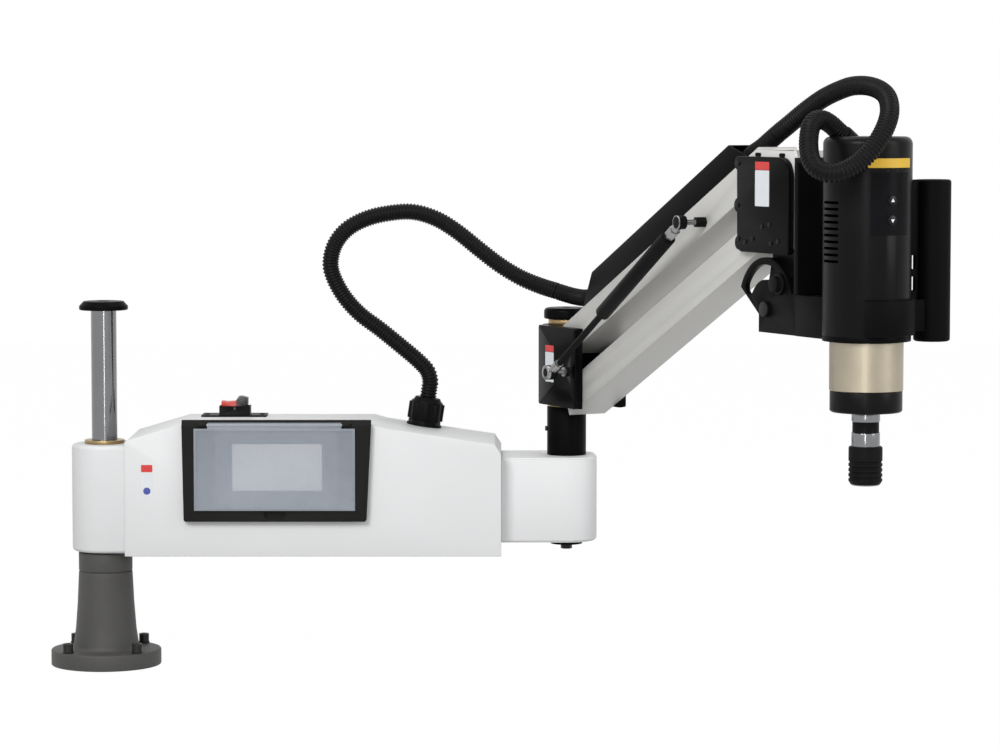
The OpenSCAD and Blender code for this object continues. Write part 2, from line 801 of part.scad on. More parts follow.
module tilt_clamp_bolt() {
    x = tilt_x + clamp_r * cos(45);
    z = tilt_z + clamp_r * sin(45);
    color(black) on_arm() {
        cross_pin(x, z, 9, -fork_y[1] - 9, -fork_y[1] - 2.5);
        cross_pin(x, z, 12, -fork_y[1] - 2.5 - eps, -fork_y[1] - gap);
        cross_pin(x, z, 7.5, -fork_y[1] - gap - eps, -20);
        cross_pin(x, z, 6, -20 - eps, -2);
    }
}

module tilt_pin() {
    color(casting_grey) on_arm() {
        cross_pin(tilt_x, tilt_z, 6, -fork_y[1] - gap, fork_y[1] + gap);
        cross_pin(tilt_x, tilt_z, 8.5, -fork_y[1] - 3.5, -fork_y[1] - gap + eps);
        cross_pin(tilt_x, tilt_z, 8.5, fork_y[1] + gap - eps, fork_y[1] + 3.5);
    }
}

// ---- tilting head ----

// one cheek of the fork, with the curved slot of the tilt clamp
module fork_outline() {
    p = [tilt_x, tilt_z];
    difference() {
        polygon(concat([[509, mount_z[0]], [509, 470]], arc(p, fork_arc_r, 157, 40, 20),
            [[578, mount_z[1]], [600, mount_z[1]], [600, mount_z[0]]]));
        mid = (slot_r[0] + slot_r[1]) / 2;
        half = (slot_r[1] - slot_r[0]) / 2;
        polygon(concat(arc(p, slot_r[1], 45, 146, 20), arc(p, slot_r[0], 146, 45, 20)));
        for (a = [45, 146]) translate(p + mid * [cos(a), sin(a)])
            circle(r = half, $fn = 32);
    }
}

module tilt_fork() {
    color(black) on_arm() difference() {
        union() {
            for (y = [[-fork_y[1], -fork_y[0]], [fork_y[0], fork_y[1]]])
                upright(y[0], y[1]) fork_outline();
            translate([590, -30, mount_z[0]])
                cube([60, 60, mount_z[1] - mount_z[0]]);
            translate([motor_x, 0, mount_z[0]])
                cylinder(r = motor_r - 0.1, h = motor_bottom - mount_z[0]);
            translate([640, -30, mount_z[0]]) cube([40, 60, motor_bottom - mount_z[0]]);
        }
        translate([motor_x, 0, motor_bottom]) cylinder(r = motor_r + gap, h = 60);
        translate([motor_x, 0, mount_z[0] - 1]) cylinder(r = 9, h = 20);
        for (y = [-fork_y[1], fork_y[0]])
            cross_pin(tilt_x, tilt_z, 6 + fit, y - 1, y + 7);
    }
}

module motor_cover() {
    wall = 2.5;
    edge = 8;
    inner = edge - wall;
    color(black) on_arm() translate([motor_x, 0, 0]) difference() {
        rotate_extrude() polygon(concat(
            [[motor_r - wall, motor_bottom], [motor_r, motor_bottom]],
            arc([motor_r - edge, motor_top - edge], edge, 0, 90, 6), [[0, motor_top]],
            [[0, motor_top - wall]],
            arc([motor_r - edge, motor_top - edge], inner, 90, 0, 6)));
        // louvres on the near side
        for (i = [0:9]) translate([-14, -motor_r - 2, 535 + i * 7]) cube([28, 9, 3]);
        // seats of the two buttons
        for (z = button_z) translate([motor_r - 10, 0, z]) rotate([0, 90, 0])
            cylinder(r = button_r + gap, h = 20, $fn = 48);
        translate([-motor_x, 0, 0]) at_entry() translate([0, 0, -16])
            cylinder(r = entry_r + fit, h = 40, $fn = 48);
    }
}

module servo_motor() {
    color([0.15, 0.15, 0.16]) on_arm() translate([motor_x, 0, 0]) difference() {
        union() {
            translate([-30, -30, motor_bottom]) cube([60, 60, servo_top - motor_bottom]);
            translate([0, 0, servo_top - eps]) cylinder(r = 27, h = 40);
        }
        translate([0, 0, motor_bottom - 1]) cylinder(r = 7 + fit, h = 140);
        translate([0, 0, motor_bottom + 20]) cylinder(r = 22 + fit, h = 76);
    }
}

module motor_rotor() {
    color(chrome) on_arm() translate([motor_x, 0, 0]) {
        translate([0, 0, 424]) cylinder(r = 7, h = 160);
        translate([0, 0, motor_bottom + 20 + gap]) cylinder(r = 22, h = 76 - 2 * gap);
    }
}

module reduction_gearbox() {
    color([0.66, 0.60, 0.47]) on_arm() translate([motor_x, 0, 0]) difference() {
        rotate_extrude() polygon([[0, gear_z[0]], [gear_r - 1, gear_z[0]],
            [gear_r, gear_z[0] + 1], [gear_r, gear_z[1] - 1], [gear_r - 1, gear_z[1]],
            [0, gear_z[1]]]);
        translate([0, 0, 422]) cylinder(r = 7 + fit, h = 40);
    }
}

module output_ring() {
    color(black) on_arm() translate([motor_x, 0, 0]) difference() {
        rotate_extrude() polygon([[0, ring_z[0]], [gear_r - 2.5, ring_z[0]],
            [gear_r - 0.7, ring_z[0] + 1.8], [gear_r - 0.7, ring_z[1]], [0, ring_z[1]]]);
        translate([0, 0, ring_z[0] - 1]) cylinder(r = 12 + fit, h = 20);
    }
}

module hand_grip() {
    color(black) on_arm() translate([motor_x, grip_y, 0]) difference() {
        turned(grip_r, 447, 623, 3, 3);
        translate([0, -grip_r - 1, 476]) rotate([-90, 0, 0])
            cylinder(r = 4 + fit, h = 14, $fn = 48);
    }
}

module grip_bracket() {
    band_in = motor_r + gap;
    band_out = band_in + 4;
    band_z = 457;
    band_h = 38;
    grip_face = grip_y - grip_r - gap;
    color(black) on_arm() translate([motor_x, 0, 0]) {
        // band round the motor cover, open towards the head bracket
        translate([0, 0, band_z]) rotate([0, 0, -35]) rotate_extrude(angle = 160)
            translate([band_in, 0]) square([band_out - band_in, band_h]);
        // arm and stud that carry the grip
        difference() {
            translate([-12, band_out - 2, band_z + 2])
                cube([24, grip_face - band_out + 5, band_h - 4]);
            translate([0, grip_y, band_z]) cylinder(r = grip_r + gap, h = band_h);
        }
        translate([0, 60, 476]) rotate([-90, 0, 0]) cylinder(r = 4, h = 16, $fn = 48);
        // web above the arm, with its two slits
        difference() {
            translate([-3, band_in + 1.5, band_z + band_h - 9])
                cube([6, grip_face - band_in - 1.7, 137]);
            for (z = [503, 526]) translate([-10, band_in + 4, z]) cube([20, 8.6, 15]);
        }
    }
}

module button_switches() {
    color(casting_grey) on_arm() translate([motor_x, 0, 0]) {
        translate([27.3, -12, servo_top]) cube([2.7, 24, 40]);
        for (z = button_z) translate([30 - eps, 0, z]) rotate([0, 90, 0])
            cylinder(r = 4, h = 9, $fn = 32);
    }
}

module at_entry() {
    translate(entry) rotate([0, 0, entry_turn]) rotate([entry_tilt, 0, 0]) children();
}

module motor_gland() {
    color(black) on_arm() at_entry() translate([0, 0, -14]) difference() {
        cylinder(r = entry_r, h = 14, $fn = 48);
        translate([0, 0, -1]) cylinder(r = conduit_bore / 2, h = 16, $fn = 48);
    }
}

module spindle() {
    nose = collar_z[0] + 1;
    color(chrome) on_arm() translate([motor_x, 0, 0]) difference() {
        rotate_extrude() polygon([[0, nose], [12.5, nose], [13.5, nose + 1],
            [13.5, collar_z[1] + gap], [spindle_r, collar_z[1] + gap], [spindle_r, 350],
            [spindle_r - 1, 351], [spindle_r - 1, 362], [spindle_r, 363],
            [spindle_r, ring_z[0] - gap], [12, ring_z[0] - gap], [12, ring_z[0] + 18],
            [0, ring_z[0] + 18]]);
        translate([0, 0, nose - 1]) cylinder(r = tool_bore_d / 2, h = 33);
    }
}

module chuck_collar() {
    r = 18.4;
    z0 = collar_z[0];
    grooves = [for (i = [0:3]) z0 + 6 + i * 5];
    color(black) on_arm() translate([motor_x, 0, 0]) rotate_extrude() polygon(concat(
        [[13.5 + fit, z0], [r - 2, z0], [r, z0 + 2]],
        [for (z = grooves) each [[r, z], [r - 0.8, z + 0.8], [r - 0.8, z + 1.6],
            [r, z + 2.4]]],
        [[r, collar_z[1] - 3], [r - 1.5, collar_z[1]], [13.5 + fit, collar_z[1]]]));
}

module button(z) {
    color([0.12, 0.12, 0.13]) on_arm() translate([motor_x, 0, z]) rotate([0, 90, 0]) {
        translate([0, 0, motor_r - 4]) cylinder(r = button_r, h = 5.6, $fn = 48);
        translate([0, 0, motor_r - 7]) cylinder(r = 7.5, h = 3 + eps, $fn = 48);
    }
}

module button_up() { button(button_z[0]); }

module button_down() { button(button_z[1]); }

// ---- corrugated conduit ----

function unit(v) = v / norm(v);

// a smooth curve through the route's points
function spline(p, i, t) =
    let (a = p[max(i - 1, 0)], b = p[i], c = p[i + 1], d = p[min(i + 2, len(p) - 1)])
    0.5 * (2 * b + (c - a) * t + (2 * a - 5 * b + 4 * c - d) * t * t
        + (3 * b - 3 * c + d - a) * t * t * t);

steps = 12;
function curve(p) = concat([for (i = [0:len(p) - 2]) for (k = [0:steps - 1])
    spline(p, i, k / steps)], [p[len(p) - 1]]);

// running lengths along a list of points
function lengths(q) = [for (i = 0, s = 0; i < len(q); s = s + (i < len(q) - 1 ?
    norm(q[i + 1] - q[i]) : 0), i = i + 1) s];

// the place at length s, found between two neighbours
function find(l, s, lo, hi) = hi - lo <= 1 ? lo
    : let (m = floor((lo + hi) / 2)) l[m] <= s ? find(l, s, m, hi) : find(l, s, lo, m);
function place(q, l, s) = let (i = find(l, s, 0, len(q) - 1),
    f = (s - l[i]) / max(l[i + 1] - l[i], 0.001)) q[i] + (q[i + 1] - q[i]) * f;

// side directions that turn with the curve without twisting
function square_to(n, t) = unit(n - (n * t) * t);
function sides(t, first) = [for (i = 0, n = square_to(first, t[0]); i < len(t);
    n = square_to(n, t[min(i + 1, len(t) - 1)]), i = i + 1) n];

facet_count = 8;
module conduit(route) {
    q = curve(route);
    l = lengths(q);
    total = l[len(l) - 1];
    ribs = round(total / rib_pitch);
    rings = 2 * ribs + 1;
    root_r = conduit_d / 2 - 1.6;
    centre = [for (i = [0:rings - 1]) i == rings - 1 ? q[len(q) - 1]
        : place(q, l, total * i / (rings - 1))];
    along = [for (i = [0:rings - 1]) unit(centre[min(i + 1, rings - 1)]
        - centre[max(i - 1, 0)])];
    side = sides(along, [0.3, 1, 0.2]);
    // outer rings rise and fall with the ribs, and the bore has a ring to every third rib
    bore_rows = concat([for (i = [0:6:rings - 4]) i], [rings - 1]);
    function ring(i, r) = [for (k = [0:facet_count - 1])
        let (a = 360 * k / facet_count, b = cross(along[i], side[i]))
        centre[i] + r * (side[i] * cos(a) + b * sin(a))];
    outer = [for (i = [0:rings - 1]) each ring(i, i % 2 == 0 ? root_r : conduit_d / 2)];
    inner = [for (i = bore_rows) each ring(i, conduit_bore / 2)];
    n = facet_count;
    base = len(outer);
    rows = len(bore_rows);
    function quad(a, b, c, d) = [[a, b, c], [a, c, d]];
    skin = [for (i = [0:rings - 2]) for (k = [0:n - 1]) let (m = (k + 1) % n)
        each quad(i * n + k, (i + 1) * n + k, (i + 1) * n + m, i * n + m)];
    lining = [for (i = [0:rows - 2]) for (k = [0:n - 1]) let (m = (k + 1) % n)
        each quad(base + i * n + m, base + (i + 1) * n + m, base + (i + 1) * n + k,
            base + i * n + k)];
    mouth = [for (k = [0:n - 1]) let (m = (k + 1) % n)
        each quad(k, m, base + m, base + k)];
    last = (rings - 1) * n;
    last_in = base + (rows - 1) * n;
    tail = [for (k = [0:n - 1]) let (m = (k + 1) % n)
        each quad(last_in + k, last_in + m, last + m, last + k)];
    color([0.08, 0.08, 0.085]) polyhedron(points = concat(outer, inner),
        faces = concat(skin, lining, mouth, tail), convexity = 6);
}

// least distance between stretches of a route that are over three diameters apart
function least_gap(route) = let (q = curve(route), l = lengths(q))
    min([for (i = [0:4:len(q) - 1]) for (j = [i + 4:4:len(q) - 1])
        if (l[j] - l[i] > 3 * conduit_d) norm(q[i] - q[j])]) - conduit_d;
function route_length(route) = let (l = lengths(curve(route))) l[len(l) - 1];
for (r = [lower_route, lower_end_route, upper_start_route, upper_route])
    echo(length = route_length(r), least_gap = least_gap(r));

module conduit_lower() { conduit(lower_route); }

module conduit_lower_end() { on_arm() conduit(lower_end_route); }

module conduit_upper_start() { on_arm() conduit(upper_start_route); }

module conduit_upper() { on_arm() conduit(upper_route); }

base_casting();
base_screws();
support_collar();
main_column();
column_cap();
arm_frame();
arm_box();
rear_panel();
column_bushes();
screen_frame();
cover_hinge_pin();
hmi_panel();
hmi_screen();
screen_cover();
switch_housing();
power_rocker();
gland_base();
gland_nut();
servo_driver();
post_shaft();
post_sleeve();
post_bolt();
post_disc();
post_cap();
conduit_lower();
yoke_block();
yoke_covers();
yoke_bushes();
yoke_pins();
gas_stud_lower();
conduit_lower_end();
upper_beam();
conduit_cover();
gas_stud_upper();
conduit_upper_start();
lower_beam();
gas_cylinder();
gas_rod();
head_frame();
head_side_plates();
head_covers();
head_pins();
tilt_clamp_bolt();
tilt_pin();
conduit_upper();
tilt_fork();
motor_cover();
servo_motor();
motor_rotor();
reduction_gearbox();
output_ring();
hand_grip();
grip_bracket();
button_switches();
motor_gland();
spindle();
chuck_collar();
button_up();
button_down();
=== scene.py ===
"""Arm tapping machine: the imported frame, dressed in Blender.

Lengths in this file are millimetres until mm() or an arm transform turns them into metres.
The second arm has its own upright frame: x outwards from the post, y across, z up."""
import json
from math import cos, pi, radians, sin
import bmesh
import bpy
from mathutils import Matrix, Vector


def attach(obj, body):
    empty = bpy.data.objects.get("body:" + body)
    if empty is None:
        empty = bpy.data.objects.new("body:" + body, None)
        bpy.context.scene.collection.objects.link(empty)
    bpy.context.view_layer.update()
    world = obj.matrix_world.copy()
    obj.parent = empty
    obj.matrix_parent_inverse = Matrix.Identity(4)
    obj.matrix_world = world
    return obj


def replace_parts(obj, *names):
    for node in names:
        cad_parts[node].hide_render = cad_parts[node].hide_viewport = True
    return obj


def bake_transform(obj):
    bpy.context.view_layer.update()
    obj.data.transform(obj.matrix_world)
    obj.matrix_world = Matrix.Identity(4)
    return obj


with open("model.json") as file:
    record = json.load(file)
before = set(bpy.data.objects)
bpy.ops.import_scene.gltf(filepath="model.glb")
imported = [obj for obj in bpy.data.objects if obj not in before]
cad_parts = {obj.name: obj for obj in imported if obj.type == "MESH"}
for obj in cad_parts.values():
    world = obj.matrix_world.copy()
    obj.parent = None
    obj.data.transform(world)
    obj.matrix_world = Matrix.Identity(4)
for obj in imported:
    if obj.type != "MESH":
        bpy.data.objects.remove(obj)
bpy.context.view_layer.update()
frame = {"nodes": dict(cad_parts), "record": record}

# ---- the machine's driving dimensions, as its parts have them ----
REACH = 580
YAW = radians(63)
RISE = radians(26)
MOTOR_X = 687
MOTOR_R = 48
CONDUIT_R = 10.6
CONDUIT_PITCH = 3.9
HEAD_COVER_Y = -36
YOKE_COVER_Y = -36
SIDE_PLATE_Y = -28.5
BOX_FRONT = -75
SCREEN_FRAME_FRONT = -78
SWITCH_PLATE_TOP = 311.5
SLEEVE_R = 24.4
BUTTON_FACE = 49.65
UP_BUTTON_Z = 602
DOWN_BUTTON_Z = 581
BUTTON_HOLE_R = 5.7

# ---- the stage ----
CAMERA_LENS = 127.26
CAMERA_DIP = 4.45
CAMERA_PLACE = (496.4, -4419, 709)
PLAIN_LIGHT = 0.36
FLOOR_SHOWN = 0.96
FLOOR_GLOW = 1.025


def mm(x, y, z):
    return Vector((x, y, z)) * 0.001


ARM = Matrix.Translation(mm(REACH, 0, 0)) @ Matrix.Rotation(-YAW, 4, "Z")
HEAD = ARM @ Matrix.Translation(mm(MOTOR_X, 0, 0))


def arm(x, y, z):
    """A point of the second arm's frame, as a place in the machine's frame."""
    return ARM @ mm(x, y, z)


# ---- camera ----
def set_camera():
    data = bpy.data.cameras.new("camera")
    data.sensor_width = 36
    data.lens = CAMERA_LENS
    data.clip_end = 50
    camera = bpy.data.objects.new("camera", data)
    camera.location = mm(*CAMERA_PLACE)
    camera.rotation_euler = (radians(90 - CAMERA_DIP), 0, 0)
    bpy.context.scene.collection.objects.link(camera)
    bpy.context.scene.camera = camera


set_camera()


# ---- shader building ----
class Value:
    """A shader socket that adds a node for each operator used on it."""

    def __init__(self, finish, socket):
        self.finish, self.socket = finish, socket

    def _with(self, operation, first, second):
        return self.finish.node("Math", {"operation": operation}, {0: first, 1: second})

    def __add__(self, other):
        return self._with("ADD", self, other)

    def __sub__(self, other):
        return self._with("SUBTRACT", self, other)

    def __rsub__(self, other):
        return self._with("SUBTRACT", other, self)

    def __mul__(self, other):
        return self._with("MULTIPLY", self, other)

    def __gt__(self, other):
        return self._with("GREATER_THAN", self, other)

    def maximum(self, other):
        return self._with("MAXIMUM", self, other)

    __radd__ = __add__
    __rmul__ = __mul__


class Finish:
    """A material whose nodes are written as expressions."""

    def __init__(self, name, colour=(0.5, 0.5, 0.5), roughness=0.5, **constants):
        self.material = bpy.data.materials.new(name)
        self.material.use_nodes = True
        self.tree = self.material.node_tree
        self.shader = self.tree.nodes["Principled BSDF"]
        self.set(base_color=(*colour, 1), roughness=roughness, **constants)
        self.place = self.node("TexCoord", {}, {}, out="Object")

    def set(self, **sockets):
        for key, value in sockets.items():
            words = key.replace("_", " ").title().replace("Ior", "IOR")
            self._feed(self.shader.inputs[words], value)

    def _feed(self, socket, value):
        if isinstance(value, Value):
            self.tree.links.new(value.socket, socket)
        else:
            socket.default_value = value

    def node(self, kind, settings, inputs, out=0):
        made = self.tree.nodes.new("ShaderNode" + kind)
        for key, value in settings.items():
            setattr(made, key, value)
        for key, value in inputs.items():
            self._feed(made.inputs[key], value)
        return Value(self, made.outputs[out])

    def stretched(self, scale, at=None):
        """Coordinates scaled by axis, for grain that runs one way."""
        return self.node("Mapping", {}, {"Vector": at or self.place, "Scale": scale})

    def noise(self, scale, detail=3, roughness=0.55, at=None):
        return self.node("TexNoise", {}, {"Vector": at or self.place, "Scale": scale,
                                          "Detail": detail, "Roughness": roughness})

    def grey(self, value, low, high):
        return self.node("MapRange", {}, {"Value": value, "To Min": low, "To Max": high})

    def mix(self, factor, first, second):
        inputs = {"Factor": factor, 6: first, 7: second}
        return self.node("Mix", {"data_type": "RGBA"}, inputs, out=2)

    def axis(self, letter):
        """The object coordinate along one axis, in metres."""
        return self.node("SeparateXYZ", {}, {"Vector": self.place}, out=letter)

    def bump(self, height, depth):
        """Relief whose height runs over depth millimetres."""
        inputs = {"Height": height, "Distance": depth * 0.001, "Strength": 1.0}
        self.set(normal=self.node("Bump", {}, inputs))


def shade(colour, factor):
    return tuple(c * factor for c in colour) + (1,)


def powder_coat(name, colour, roughness, peel=0.02):
    """Paint with a fine orange peel, faint clouding and a few rubbed places."""
    f = Finish(name, colour, roughness, specular_ior_level=0.5)
    cloud = f.noise(9, 4)
    f.set(base_color=f.mix(cloud, shade(colour, 0.965), shade(colour, 1.03)))
    f.set(roughness=f.grey(f.noise(60, 3), roughness - 0.06, roughness + 0.08))
    f.bump(f.noise(900, 2) + f.noise(260, 2) * 0.6, peel)
    return f.material


def cast_paint(name, colour):
    """Enamel over sand casting: coarse relief, darker in its hollows."""
    f = Finish(name, colour, 0.6, specular_ior_level=0.4)
    grain = f.noise(420, 5, 0.65)
    cloud = f.noise(22, 4)
    f.set(base_color=f.mix(cloud * 0.6 + grain * 0.5, shade(colour, 0.72), shade(colour, 1.35)))
    f.set(roughness=f.grey(grain, 0.45, 0.72))
    f.bump(grain + f.noise(130, 3) * 0.8, 0.12)
    return f.material


def turned_metal(name, colour, roughness, rings=1600.0, mark=0.006):
    """Ground or turned metal: fine marks across the piece's axis, and faint stains."""
    f = Finish(name, colour, roughness, metallic=1.0)
    marks = f.noise(1, 3, 0.6, at=f.stretched((14, 14, rings)))
    stain = f.noise(35, 4)
    f.set(base_color=f.mix(stain, shade(colour, 0.86), shade(colour, 1.06)))
    f.set(roughness=f.grey(marks * 0.5 + stain * 0.5, max(roughness - 0.08, 0.04), roughness + 0.1))
    f.bump(marks, mark)
    return f.material


def extruded_metal(name, colour):
    """Anodised extrusion: die lines along its length and a soft bloom."""
    f = Finish(name, colour, 0.5, metallic=0.25, specular_ior_level=0.4)
    # the beams' length lies along the first axis of the turned coordinates
    along_arm = f.node("VectorRotate", {"rotation_type": "Z_AXIS"},
                       {"Vector": f.place, "Angle": YAW})
    level = f.node("VectorRotate", {"rotation_type": "Y_AXIS"},
                   {"Vector": along_arm, "Angle": RISE})
    lines = f.noise(1, 3, 0.6, at=f.stretched((5, 700, 700), at=level))
    bloom = f.noise(14, 4)
    f.set(base_color=f.mix(lines * 0.5 + bloom * 0.5, shade(colour, 0.93), shade(colour, 1.05)))
    f.set(roughness=f.grey(lines, 0.42, 0.6))
    f.bump(lines, 0.01)
    return f.material


def black_finish(name, colour, roughness, grain, specular):
    """Black coat or moulding: fine grain, darker in the low places of the grain, softly rubbed
    patches.
    """
    f = Finish(name, colour, roughness, specular_ior_level=specular)
    fine = f.noise(700, 3, 0.6)
    worn = f.noise(18, 5)
    f.set(base_color=f.mix(worn * 0.5 + fine * 0.5, shade(colour, 0.7), shade(colour, 1.5)))
    f.set(roughness=f.grey(worn * 0.6 + fine * 0.4, roughness - 0.1, roughness + 0.12))
    f.bump(fine, grain)
    return f.material


def plain_print(name, colour):
    """Printed film for the bare label places."""
    f = Finish(name, colour, 0.45)
    f.set(base_color=f.mix(f.noise(60, 4), shade(colour, 0.94), shade(colour, 1.04)))
    f.bump(f.noise(500, 2), 0.008)
    return f.material


def clear_lid(name):
    """Frosted bluish clear plastic, a little more cloudy towards scratches."""
    f = Finish(name, (0.44, 0.48, 0.54), 0.28, specular_ior_level=0.4)
    haze = f.noise(45, 4)
    f.set(alpha=f.grey(haze, 0.38, 0.48))
    f.set(roughness=f.grey(haze, 0.22, 0.38))
    f.bump(f.noise(300, 2), 0.01)
    return f.material


def display(name):
    """Blank pale display, with a painted glow and painted light that grows towards the top."""
    # the emission is a painted glow: the display is unlit
    f = Finish(name, (0.66, 0.66, 0.66), 0.35, emission_strength=0.16)
    height = f.axis("Z")
    painted_light_rise = f.node("MapRange", {}, {"Value": height, "From Min": 0.226, "From Max": 0.286})
    cloud = f.noise(25, 4)
    # painted light: colour and glow grow brighter and warmer towards the top
    f.set(base_color=f.mix(painted_light_rise * 0.6 + cloud * 0.4, (0.70, 0.70, 0.71, 1), (0.90, 0.87, 0.84, 1)))
    f.set(emission_color=f.mix(painted_light_rise, (0.85, 0.87, 0.9, 1), (1, 0.93, 0.88, 1)))
    f.bump(cloud, 0.01)
    return f.material


def ribbed_plastic(name):
    """Corrugated polyamide: dark in the grooves, rubbed on the ribs."""
    f = Finish(name, (0.006, 0.006, 0.007), 0.36, specular_ior_level=0.08)
    dust = f.noise(160, 4)
    f.set(base_color=f.mix(dust, (0.003, 0.003, 0.0035, 1), (0.009, 0.009, 0.0095, 1)))
    f.set(roughness=f.grey(dust, 0.28, 0.48))
    f.bump(f.noise(700, 2), 0.015)
    return f.material


def two_colour_rocker(name):
    """Red half and black half of the mains rocker."""
    f = Finish(name, (0.5, 0.03, 0.02), 0.35)
    side = f.axis("X")
    height = f.axis("Z")
    black = (side > 0.1625).maximum(1 - (height > 0.3212))
    red = f.mix(f.noise(200, 3), (0.40, 0.022, 0.016, 1), (0.62, 0.045, 0.03, 1))
    f.set(base_color=f.mix(black, red, (0.012, 0.012, 0.013, 1)))
    f.set(roughness=f.grey(f.noise(120, 3), 0.25, 0.45))
    f.bump(f.noise(600, 2), 0.012)
    return f.material


SPRING_LOW = arm(66, -56, 375)
SPRING_HIGH = arm(383, -56, 569)


def between(value, low, high):
    return (value > low) * (1 - (value > high))


def partly_black(name, colour, roughness, black_where):
    """Turned metal with black parts, where black_where gives one."""
    f = Finish(name, colour, roughness, specular_ior_level=0.05)
    black = black_where(f)
    marks = f.noise(1, 3, 0.6, at=f.stretched((14, 14, 900)))
    stain = f.noise(45, 4)
    metal = f.mix(stain, shade(colour, 0.86), shade(colour, 1.06))
    coat = f.mix(stain, (0.004, 0.004, 0.0045, 1), (0.009, 0.009, 0.0095, 1))
    f.set(base_color=f.mix(black, metal, coat), metallic=1 - black)
    rubbed = f.grey(marks * 0.5 + stain * 0.5, roughness - 0.06, roughness + 0.1)
    f.set(roughness=rubbed + black * 0.18)
    f.bump(marks, 0.006)
    return f.material


def spindle_groove_shade(f):
    """The groove round the spindle, painted black as its shade."""
    return between(f.axis("Z"), 0.3505, 0.3625)


def above_nose(f):
    """All of the chuck's sleeve but the bright ring at its lower end."""
    return f.axis("Z") > 0.2942


def beyond_fitting(point, low, high):
    """Black outside the bright fitting that lies between two distances from a ball."""
    def where(f):
        reach = f.node("VectorMath", {"operation": "DISTANCE"},
                       {0: f.place, 1: point}, out="Value")
        return 1 - between(reach, low, high)
    return where


# the spring's fittings, the spindle and the chuck's sleeve are bright only in places
PART_BRIGHT = {
    # the spindle's black band is painted shade in its groove
    "chrome_with_groove_shade": ((0.24, 0.242, 0.25), 0.16, spindle_groove_shade),
    "spring_rod": ((0.32, 0.32, 0.32), 0.26, beyond_fitting(SPRING_LOW, 0.0105, 0.0245)),
    "spring_tube": ((0.32, 0.32, 0.32), 0.26, beyond_fitting(SPRING_HIGH, 0.0098, 0.0342)),
    "spring_stud": ((0.32, 0.32, 0.32), 0.26, beyond_fitting(SPRING_HIGH, 0.0, 0.0185)),
    "chuck_black": ((0.32, 0.32, 0.32), 0.3, above_nose),
}
# colour, roughness, depth of the grain in millimetres and specular level
BLACKS = {
    "black_satin": ((0.003, 0.003, 0.0034), 0.34, 0.012, 0.03),
    "black_matt": ((0.0035, 0.0035, 0.0035), 0.5, 0.03, 0.03),
    "black_gloss": ((0.002, 0.002, 0.002), 0.2, 0.004, 0.05),
    "black_moulded": ((0.005, 0.005, 0.0055), 0.4, 0.03, 0.05),
    "frame_black": ((0.014, 0.0135, 0.013), 0.5, 0.05, 0.05),
    "motor_black": ((0.0035, 0.0035, 0.0035), 0.32, 0.008, 0.09),
    "screw_black": ((0.014, 0.014, 0.014), 0.35, 0.01, 0.15),
    "driver": ((0.05, 0.052, 0.056), 0.5, 0.02, 0.15),
    "panel_film": ((0.008, 0.008, 0.010), 0.22, 0.004, 0.12),
}
PRINTS = {
    "print_red": (0.62, 0.035, 0.03), "print_white": (0.70, 0.73, 0.76),
    "print_blue": (0.05, 0.07, 0.32), "print_yellow": (0.72, 0.44, 0.03),
    "print_pale": (0.75, 0.75, 0.75),
}
FINISHES = {
    "casting_grey": cast_paint("casting_grey", (0.058, 0.057, 0.054)),
    "white_box": powder_coat("white_box", (0.71, 0.715, 0.72), 0.5),
    "white_casting": powder_coat("white_casting", (0.70, 0.705, 0.71), 0.5, peel=0.04),
    "chrome": turned_metal("chrome", (0.22, 0.222, 0.23), 0.13, rings=900),
    "bronze": turned_metal("bronze", (0.36, 0.26, 0.13), 0.32),
    "steel": turned_metal("steel", (0.32, 0.32, 0.33), 0.28),
    "champagne": turned_metal("champagne", (0.40, 0.355, 0.275), 0.40, rings=1200, mark=0.004),
    "beam": extruded_metal("beam", (0.56, 0.555, 0.535)),
    "side_plate": extruded_metal("side_plate", (0.66, 0.65, 0.64)),
    "conduit": ribbed_plastic("conduit"),
    "lid": clear_lid("lid"),
    "bezel": powder_coat("bezel", (0.115, 0.135, 0.165), 0.5),
    "display": display("display"),
    "rocker": two_colour_rocker("rocker"),
}
FINISHES.update({name: partly_black(name, *made) for name, made in PART_BRIGHT.items()})
FINISHES.update({name: black_finish(name, *made) for name, made in BLACKS.items()})
FINISHES.update({name: plain_print(name, colour) for name, colour in PRINTS.items()})


# ---- pieces ----
def add(name, bm, finish, body, place=None, smooth=35):
    """Turns a bmesh in millimetres into a piece that rides on a body."""
    if place is not None:
        bmesh.ops.transform(bm, matrix=place @ Matrix.Scale(0.001, 4), verts=bm.verts)
    bmesh.ops.recalc_face_normals(bm, faces=bm.faces)
    mesh = bpy.data.meshes.new(name)
    bm.to_mesh(mesh)
    bm.free()
    mesh.shade_smooth()
    mesh.set_sharp_from_angle(angle=radians(smooth))
    mesh.materials.append(FINISHES[finish])
    piece = bpy.data.objects.new(name, mesh)
    bpy.context.scene.collection.objects.link(piece)
    if body:
        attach(piece, body)
    return piece


WORLD = Matrix.Identity(4)
